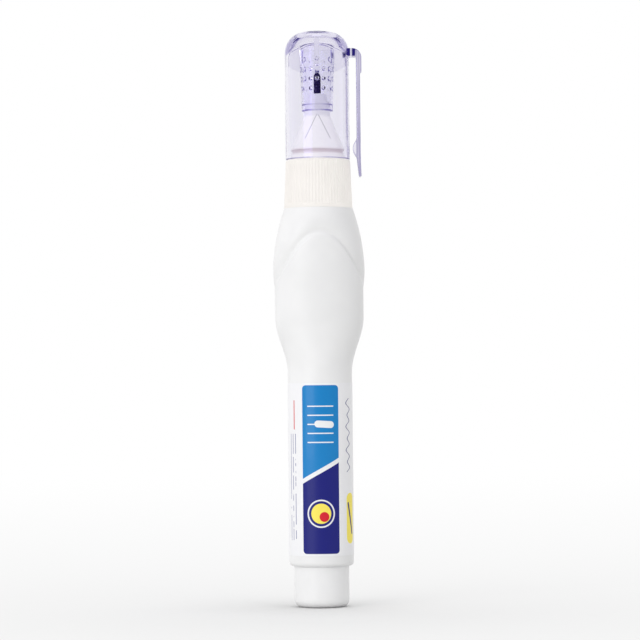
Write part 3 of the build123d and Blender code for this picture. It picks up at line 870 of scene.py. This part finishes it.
def makeClip():
    # inner and outer edge have the same number of corners, which pair up along the path
    c = clip
    top, foot = clipHigh[2], clipLow[2]
    under = top - c["bridge"]
    inside = c["inside"]
    outside = inside + c["thickness"]
    head = outside + c["headStep"]
    headUpper = under - c["headUpper"]
    headFoot = top - c["headLength"]
    stepFoot = headFoot - c["headStep"]
    beadFoot = foot + c["beadFoot"]
    beadTop = beadFoot + c["beadLength"]
    beadMiddle = (beadFoot + beadTop) / 2
    kickTop = foot + c["kickLength"] - c["kickSoft"]
    toe = foot + c["toe"]
    end = foot + c["end"]
    bend = c["bend"] + c["gap"]
    inner = softOutline([
        (bend, under, c["edge"]), (bend + c["stub"], under, c["crisp"]), (inside, under, c["innerSoft"]),
        (inside, headUpper, c["edge"]), (inside, headFoot, c["edge"]), (inside, stepFoot, c["edge"]),
        (inside, beadTop, c["beadTopSoft"]), (inside - c["beadDepth"], beadMiddle, c["beadSoft"]),
        (inside, beadFoot, c["beadFootSoft"]), (inside + c["kickStart"], kickTop, c["kickSoft"]),
        (inside + c["kick"] + c["toeInside"], toe, c["toeSoft"]),
        (inside + c["kick"] + c["endInside"], end, c["crisp"]),
    ])
    outer = softOutline([
        (bend, top, c["edge"]), (bend + c["stub"], top, c["crisp"]), (head, top, c["cornerSoft"]),
        (head, headUpper, c["edge"]), (head, headFoot, c["headEdge"]), (outside, stepFoot, c["headEdge"]),
        (outside, beadTop, c["beadTopSoft"]), (outside, beadMiddle, c["beadBack"]),
        (outside, beadFoot, c["beadFootSoft"]), (outside, kickTop, c["kickSoft"]),
        (outside + c["kick"] - c["toeOutside"], toe, c["toeSoft"]),
        (outside + c["kick"] - c["endOutside"], end, c["crisp"]),
    ])
    return gridMesh("capClip", carried(inner, outer, clipHigh[1]), False)


addPiece(makeClip(), capViolet, "clip", "cap_clip")


# Cap: shell, crown and inner sleeve as one turned surface, with webs and the root of the bridge joined on

cap = dict(
    columns=280, bore=6.8, mouth=7.0, mouthTop=105.6, mouthSoft=0.5, taper=7.0, taperSoft=1.5, footEdge=0.15,
    crownSoft=4.8, ceiling=131.55, ceilingSoft=2.5, roof=133.1, roofSoft=1.6, sharp=35,
    sleeveFoot=116.25, sleeveTop=132.7, sleeveTip=3.64, sleeveRoot=4.24, sleeveWall=0.5, rootSoft=0.25,
    rimEdge=0.12, lipBore=3.09, lipHeight=1.5, lipHalf=0.1, lipEdge=0.05,
    rowGap=0.1, roofMargin=0.2, lipMargin=0.3,
    webs=4, webHalf=0.4, webDraft=0.03, webFoot=125.4, webSlant=1.6, bury=0.2,
    bumpFoot=123.8, bumpGap=2.25, bumpRows=3, bumpColumns=14, bumpRadius=0.55, bumpHeight=0.36,
)


def sleeveRadius(z):
    share = (z - cap["sleeveFoot"]) / (cap["sleeveTop"] - cap["sleeveFoot"])
    return cap["sleeveTip"] + (cap["sleeveRoot"] - cap["sleeveTip"]) * share


def bumps(z, angle):
    # low round bumps inside the sleeve, one column in the middle of the front and every second column a step
    # lower: height falls with the square of the distance from the nearest bump
    c = cap
    step = 2 * np.pi / c["bumpColumns"]
    column = np.round((angle + np.pi / 2) / step)
    row = (z - c["bumpFoot"]) / c["bumpGap"] + np.mod(column, 2)
    side = (angle + np.pi / 2 - column * step) * sleeveRadius(z)
    rise = (row - np.clip(np.round(row), 0, c["bumpRows"] - 1)) * c["bumpGap"]
    share = 1 - (side**2 + rise**2) / c["bumpRadius"] ** 2
    return c["bumpHeight"] * np.clip(share, 0, 1)


def shellMesh():
    c = cap
    wallTop = c["roof"] - c["roofSoft"]
    lipTop = c["sleeveFoot"] + c["lipHeight"]
    angle = around(c["columns"])
    even = np.ones_like(angle)
    sleeveZ = np.arange(wallTop - c["roofMargin"], lipTop + c["lipMargin"], -c["rowGap"])[:, None]
    inner = sleeveRadius(sleeveZ) - c["sleeveWall"]
    roof = softOutline([
        (0, c["roof"], 0), (sleeveRadius(wallTop) - c["sleeveWall"], c["roof"], c["roofSoft"]),
        (inner[0, 0], sleeveZ[0, 0] + c["rowGap"], 0),
    ])
    below = softOutline([
        (inner[-1, 0], sleeveZ[-1, 0] - c["rowGap"], 0),
        (sleeveRadius(lipTop) - c["sleeveWall"], lipTop + c["lipHalf"], c["lipEdge"]),
        (c["lipBore"], lipTop - c["lipHalf"], c["lipEdge"]), (c["lipBore"], c["sleeveFoot"], c["rimEdge"]),
        (c["sleeveTip"], c["sleeveFoot"], c["rimEdge"]), (c["sleeveRoot"], c["sleeveTop"], c["rootSoft"]),
        (c["bore"], c["ceiling"], c["ceilingSoft"]), (c["bore"], c["mouthTop"] + c["taper"], c["taperSoft"]),
        (c["mouth"], c["mouthTop"], c["mouthSoft"]), (c["mouth"], capFoot, c["rimEdge"]),
        (capRadius, capFoot, c["footEdge"]), (capRadius, capTop, c["crownSoft"]), (0, capTop, 0),
    ], steps=13)
    radius = np.concatenate([roof[:, :1] * even, inner - bumps(sleeveZ, angle), below[:, :1] * even])
    z = np.concatenate([roof[:, 1:], sleeveZ, below[:, 1:]])
    return gridMesh("capShell", polar(radius, z, c["columns"]), False)


def webMesh():
    # upright plates between sleeve and shell, each a four-cornered face given a thickness that grows upwards
    c = cap
    outer = c["bore"] + c["bury"]
    face = np.array([
        (sleeveRadius(c["webFoot"]) - c["bury"], c["webFoot"]), (outer, c["webFoot"] + c["webSlant"]),
        (outer, c["ceiling"] + c["bury"]), (c["sleeveRoot"] - c["bury"], c["sleeveTop"] + c["bury"]),
    ])
    turn = np.arange(c["webs"])[:, None, None] * 2 * np.pi / c["webs"]
    half = c["webHalf"] + c["webDraft"] * (face[:, 1] - c["webFoot"])
    side = np.array([-1, 1])[None, :, None] * half
    r = face[None, None, :, 0]
    x = r * np.cos(turn) - side * np.sin(turn)
    y = r * np.sin(turn) + side * np.cos(turn)
    points = np.stack(np.broadcast_arrays(x, y, face[None, None, :, 1]), -1)
    plate = [(0, 1, 2, 3), (7, 6, 5, 4), (0, 4, 5, 1), (1, 5, 6, 2), (2, 6, 7, 3), (3, 7, 4, 0)]
    corners = 2 * len(face)
    faces = (np.arange(c["webs"])[:, None, None] * corners + np.array(plate)[None]).reshape(-1, 4)
    mesh = bpy.data.meshes.new("webs")
    mesh.from_pydata((points.reshape(-1, 3) * mm).tolist(), [], faces.tolist())
    return mesh


def bridgeMesh():  # straight bar from inside the shell to the bend of the clip
    x = np.array([[cap["bore"] + cap["bury"]], [clip["bend"] - clip["gap"]]])
    top = np.full_like(x, clipHigh[2])
    inner = np.concatenate([x, top - clip["bridge"]], 1)
    outer = np.concatenate([x, top], 1)
    return gridMesh("bridge", carried(inner, outer, clipHigh[1]), False)


def makeCap():
    shell = bpy.data.objects.new("capShell", shellMesh())
    bpy.context.collection.objects.link(shell)
    joined = [bpy.data.objects.new(mesh.name, mesh) for mesh in (webMesh(), bridgeMesh())]
    for extra in joined:
        bpy.context.collection.objects.link(extra)
        join = shell.modifiers.new(extra.name, "BOOLEAN")
        join.operation = "UNION"
        join.solver = "EXACT"
        join.object = extra
    evaluated = shell.evaluated_get(bpy.context.evaluated_depsgraph_get())
    mesh = bpy.data.meshes.new_from_object(evaluated)
    for used in (shell, *joined):
        bpy.data.objects.remove(used)
    mesh.name = "clearCap"
    smoothShaded(mesh)
    mesh.set_sharp_from_angle(angle=math.radians(cap["sharp"]))
    return mesh


addPiece(makeCap(), capViolet, "cap", "cap")


# Inner pieces keep their CAD shapes

innerPieces = dict(
    plunger=naturalPlastic, spring_retainer=naturalPlastic, neck_gasket=gasketRubber, mixing_ball=ballSteel,
)
for node, material in innerPieces.items():
    mesh = nodes[node].data
    mesh.materials.clear()
    mesh.materials.append(material)
print("pieces ready")


# Studio: pale floor that fades into a white surround, a soft key from the left, a weaker fill and top light,
# a lamp for the collar and the nozzle alone, and one for the floor alone; places in metres

studio = dict(
    floorSize=8.0, floorTone=0.575, floorGrain=0.4, floorSpread=1.01, floorBounce=(0.46, 0.46, 0.46, 1.0),
    fadeFrom=2.6, fadeTo=7.0, fadeBack=30.0,
    surround=0.86, surroundTilt=0.12, room=(0.2, 0.16, 0.45, 1.0), roomEdge=(0.15, 0.45),
)
lamps = dict(
    key=dict(place=(-0.6, -0.8, 0.3), size=0.6, power=3.4),
    fill=dict(place=(0.75, -0.6, 0.4), size=0.6, power=0.3),
    top=dict(place=(0.0, 0.15, 1.0), size=0.5, power=0.3),
    head=dict(place=(0.75, -0.15, 0.2), size=0.3, power=1.0, only=("ribbedCollar", "nozzleCone")),
    pool=dict(place=(0.05, -0.02, 0.9), size=0.4, power=4.4, only=("floor",)),
)


def makeFloor():
    half = studio["floorSize"] / 2
    corners = [(-half, -half, 0), (half, -half, 0), (half, half, 0), (-half, half, 0)]
    mesh = bpy.data.meshes.new("floor")
    mesh.from_pydata(corners, [], [(0, 1, 2, 3)])
    floor = bpy.data.objects.new("floor", mesh)
    bpy.context.collection.objects.link(floor)
    material, tree = newMaterial("floorWhite")
    x, y, z, where = tree.place()
    tone = scaled(white, studio["floorTone"])
    pale = tree.mix(tree.noise(where, studio["floorGrain"]), tone, scaled(tone, studio["floorSpread"]))
    bounce = tree.ray("Is Diffuse Ray")
    near = tree.node("BsdfDiffuse", {}, {"Color": tree.mix(bounce, pale, studio["floorBounce"])})
    far = tree.node("Emission", {}, {"Color": white, "Strength": 1.0})
    deep = y + studio["fadeBack"]
    away = tree.maths("LOGARITHM", (x * x + deep * deep) ** 0.5, math.e)
    fade = tree.rise(away, studio["fadeFrom"], studio["fadeTo"]) * (1 - bounce)
    tree.finish(tree.node("MixShader", {}, {0: fade, 1: near, 2: far}))
    mesh.materials.append(material)


def makeWorld():
    # white where it is seen straight or through the cap; a reflection that faces the front sees a dim room
    world = bpy.data.worlds.new("studio")
    bpy.context.scene.world = world
    tree = Tree(world)
    seen = tree.maths("MAXIMUM", tree.ray("Is Camera Ray"), tree.ray("Is Glossy Ray"))
    seen = tree.maths("MAXIMUM", seen, tree.ray("Is Transmission Ray"))
    mirrored = tree.maths("MINIMUM", tree.ray("Glossy Depth"), 1.0)
    way = tree.node("TexCoord", out="Generated")
    across, towards = (tree.node("SeparateXYZ", {}, {0: way}, out) for out in ("X", "Y"))
    front = mirrored * (1 - tree.past(towards, *studio["roomEdge"]))
    level = studio["surround"] - across * studio["surroundTilt"]
    light = tree.node("Background", {}, {"Color": white, "Strength": level})
    shown = tree.node("Background", {}, {"Color": tree.mix(front, white, studio["room"]), "Strength": 1.0})
    tree.node("OutputWorld", {}, {"Surface": tree.node("MixShader", {}, {0: seen, 1: light, 2: shown})})


def makeLamp(name, place, size, power, only=()):
    data = bpy.data.lights.new(name, "AREA")
    data.energy = power
    data.size = size
    lamp = bpy.data.objects.new(name, data)
    bpy.context.collection.objects.link(lamp)
    lamp.location = place
    aim = Vector((0, 0, view["aimZ"] * mm)) - Vector(place)
    lamp.rotation_euler = aim.to_track_quat("-Z", "Y").to_euler()
    if only:  # flagged off from every other piece
        lit = bpy.data.collections.new(name)
        for piece in only:
            lit.objects.link(bpy.data.objects[piece])
        lamp.light_linking.receiver_collection = lit


makeFloor()
makeWorld()
for name, setting in lamps.items():
    makeLamp(name, **setting)
bpy.context.scene.view_settings.view_transform = "Standard"
print("studio ready")
